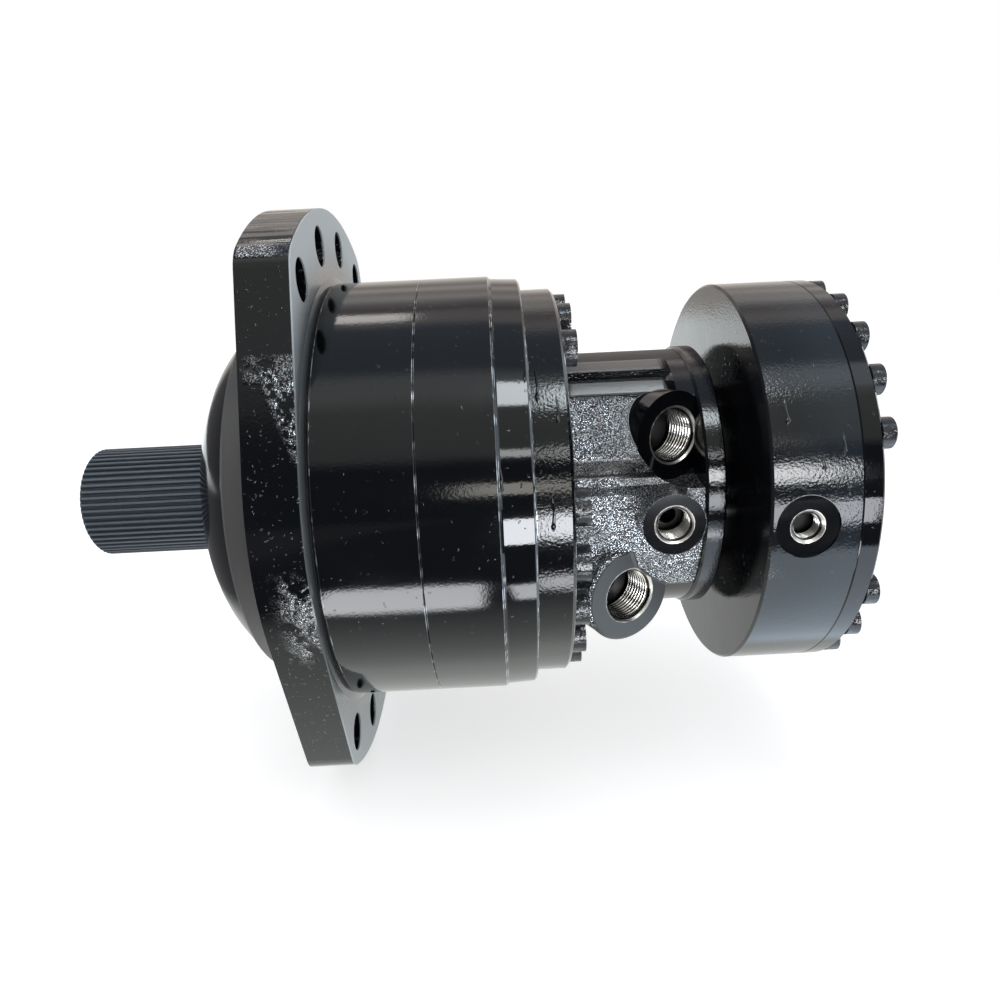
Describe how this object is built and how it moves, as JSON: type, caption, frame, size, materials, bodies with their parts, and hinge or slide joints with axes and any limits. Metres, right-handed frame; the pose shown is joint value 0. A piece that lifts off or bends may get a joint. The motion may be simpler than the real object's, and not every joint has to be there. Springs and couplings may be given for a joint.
{
  "type": "hydraulic drive motor",
  "caption": "Radial piston hydraulic motor with splined shaft, two-ear mounting flange, ported neck and spring-applied disc brake drum.",
  "frame": {"origin": "centre of the flange's mounting face on the shaft axis", "axes": "+X along the motor axis toward the brake, with the output shaft pointing to -X; +Z toward one flange ear; the ports face -Y"},
  "size_m": [0.3613, 0.2126, 0.273],
  "materials": {
    "painted_black": "gloss black enamel on turned steel",
    "painted_cast": "gloss black enamel on rough iron casting",
    "painted_screw": "gloss black enamel on cap screws",
    "phosphated_steel": "dark phosphated steel",
    "ground_steel": "ground hardened steel",
    "machined_steel": "machined steel",
    "seal_rubber": "matt black rubber",
    "bronze": "bronze",
    "friction_lining": "sintered friction lining"
  },
  "bodies": {
    "housing": {"bearing_clip": "ground_steel", "bearing_support": "painted_cast", "brake_cover": "painted_black", "brake_cover_plug": "painted_screw", "brake_cover_screws": "painted_screw", "brake_housing": "painted_black", "brake_housing_screws": "machined_steel", "brake_housing_seal": "seal_rubber", "cam_ring": "painted_black", "case_screws": "painted_screw", "case_seal_front": "seal_rubber", "case_seal_middle": "seal_rubber", "case_seal_rear": "seal_rubber", "disc_spring": "machined_steel", "distribution_ring": "painted_black", "distributor": "machined_steel", "distributor_pin": "machined_steel", "distributor_seals": "bronze", "distributor_spring": "machined_steel", "dust_seal": "seal_rubber", "front_bearing_outer": "ground_steel", "port_housing": "painted_cast", "rear_bearing_outer": "ground_steel", "shaft_seal": "seal_rubber", "steel_discs": "machined_steel"},
    "rotor": {"output_shaft": "phosphated_steel", "front_bearing_inner": "ground_steel", "rear_bearing_inner": "ground_steel", "cylinder_block": "machined_steel", "brake_shaft": "phosphated_steel", "brake_hub": "machined_steel", "hub_clip": "machined_steel", "friction_discs": "friction_lining"},
    "front_rollers": {"front_bearing_rollers": "ground_steel", "front_bearing_cage": "bronze"},
    "rear_rollers": {"rear_bearing_rollers": "ground_steel", "rear_bearing_cage": "bronze"},
    "brake_piston": {"brake_piston": "machined_steel", "brake_seal_small": "seal_rubber", "brake_seal_large": "seal_rubber"},
    "piston_1": {"piston_1": "ground_steel"},
    "roller_1": {"piston_roller_1": "ground_steel"},
    "piston_2": {"piston_2": "ground_steel"},
    "roller_2": {"piston_roller_2": "ground_steel"},
    "piston_3": {"piston_3": "ground_steel"},
    "roller_3": {"piston_roller_3": "ground_steel"},
    "piston_4": {"piston_4": "ground_steel"},
    "roller_4": {"piston_roller_4": "ground_steel"},
    "piston_5": {"piston_5": "ground_steel"},
    "roller_5": {"piston_roller_5": "ground_steel"},
    "piston_6": {"piston_6": "ground_steel"},
    "roller_6": {"piston_roller_6": "ground_steel"},
    "piston_7": {"piston_7": "ground_steel"},
    "roller_7": {"piston_roller_7": "ground_steel"},
    "piston_8": {"piston_8": "ground_steel"},
    "roller_8": {"piston_roller_8": "ground_steel"}
  },
  "joints": [
    {"name": "shaft_spin", "type": "hinge", "parent": "housing", "child": "rotor", "pos_m": [0, 0, 0], "axis": [1, 0, 0], "continuous": true},
    {"name": "front_rollers_spin", "type": "hinge", "parent": "housing", "child": "front_rollers", "pos_m": [0, 0, 0], "axis": [1, 0, 0], "continuous": true},
    {"name": "rear_rollers_spin", "type": "hinge", "parent": "housing", "child": "rear_rollers", "pos_m": [0, 0, 0], "axis": [1, 0, 0], "continuous": true},
    {"name": "piston_1_slide", "type": "slide", "parent": "rotor", "child": "piston_1", "axis": [0, 0.9914, 0.1305], "range_m": [0, 0.00137]},
    {"name": "roller_1_spin", "type": "hinge", "parent": "piston_1", "child": "roller_1", "pos_m": [0.0801, 0.05969, 0.00786], "axis": [1, 0, 0], "continuous": true},
    {"name": "piston_2_slide", "type": "slide", "parent": "rotor", "child": "piston_2", "axis": [0, 0.6088, 0.7934], "range_m": [0, 0.00137]},
    {"name": "roller_2_spin", "type": "hinge", "parent": "piston_2", "child": "roller_2", "pos_m": [0.0801, 0.03665, 0.04776], "axis": [1, 0, 0], "continuous": true},
    {"name": "piston_3_slide", "type": "slide", "parent": "rotor", "child": "piston_3", "axis": [0, -0.1305, 0.9914], "range_m": [0, 0.00703]},
    {"name": "roller_3_spin", "type": "hinge", "parent": "piston_3", "child": "roller_3", "pos_m": [0.0801, -0.00786, 0.05969], "axis": [1, 0, 0], "continuous": true},
    {"name": "piston_4_slide", "type": "slide", "parent": "rotor", "child": "piston_4", "axis": [0, -0.7934, 0.6088], "range_m": [0, 0.00703]},
    {"name": "roller_4_spin", "type": "hinge", "parent": "piston_4", "child": "roller_4", "pos_m": [0.0801, -0.04776, 0.03665], "axis": [1, 0, 0], "continuous": true},
    {"name": "piston_5_slide", "type": "slide", "parent": "rotor", "child": "piston_5", "axis": [0, -0.9914, -0.1305], "range_m": [0, 0.00137]},
    {"name": "roller_5_spin", "type": "hinge", "parent": "piston_5", "child": "roller_5", "pos_m": [0.0801, -0.05969, -0.00786], "axis": [1, 0, 0], "continuous": true},
    {"name": "piston_6_slide", "type": "slide", "parent": "rotor", "child": "piston_6", "axis": [0, -0.6088, -0.7934], "range_m": [0, 0.00137]},
    {"name": "roller_6_spin", "type": "hinge", "parent": "piston_6", "child": "roller_6", "pos_m": [0.0801, -0.03665, -0.04776], "axis": [1, 0, 0], "continuous": true},
    {"name": "piston_7_slide", "type": "slide", "parent": "rotor", "child": "piston_7", "axis": [0, 0.1305, -0.9914], "range_m": [0, 0.00703]},
    {"name": "roller_7_spin", "type": "hinge", "parent": "piston_7", "child": "roller_7", "pos_m": [0.0801, 0.00786, -0.05969], "axis": [1, 0, 0], "continuous": true},
    {"name": "piston_8_slide", "type": "slide", "parent": "rotor", "child": "piston_8", "axis": [0, 0.7934, -0.6088], "range_m": [0, 0.00703]},
    {"name": "roller_8_spin", "type": "hinge", "parent": "piston_8", "child": "roller_8", "pos_m": [0.0801, 0.04776, -0.03665], "axis": [1, 0, 0], "continuous": true},
    {"name": "brake_release", "type": "slide", "parent": "housing", "child": "brake_piston", "axis": [1, 0, 0], "range_m": [0, 0.002], "stiffness_N_per_m": 20000, "springref_m": -0.004, "deforming": ["disc_spring"]}
  ],
  "couplings": [
    {"joint": "front_rollers_spin", "follows": "shaft_spin", "ratio": 0.4475},
    {"joint": "rear_rollers_spin", "follows": "shaft_spin", "ratio": 0.4475},
    {"joint": "roller_1_spin", "follows": "shaft_spin", "ratio": -10.923},
    {"joint": "roller_2_spin", "follows": "shaft_spin", "ratio": -10.923},
    {"joint": "roller_3_spin", "follows": "shaft_spin", "ratio": -10.923},
    {"joint": "roller_4_spin", "follows": "shaft_spin", "ratio": -10.923},
    {"joint": "roller_5_spin", "follows": "shaft_spin", "ratio": -10.923},
    {"joint": "roller_6_spin", "follows": "shaft_spin", "ratio": -10.923},
    {"joint": "roller_7_spin", "follows": "shaft_spin", "ratio": -10.923},
    {"joint": "roller_8_spin", "follows": "shaft_spin", "ratio": -10.923}
  ]
}
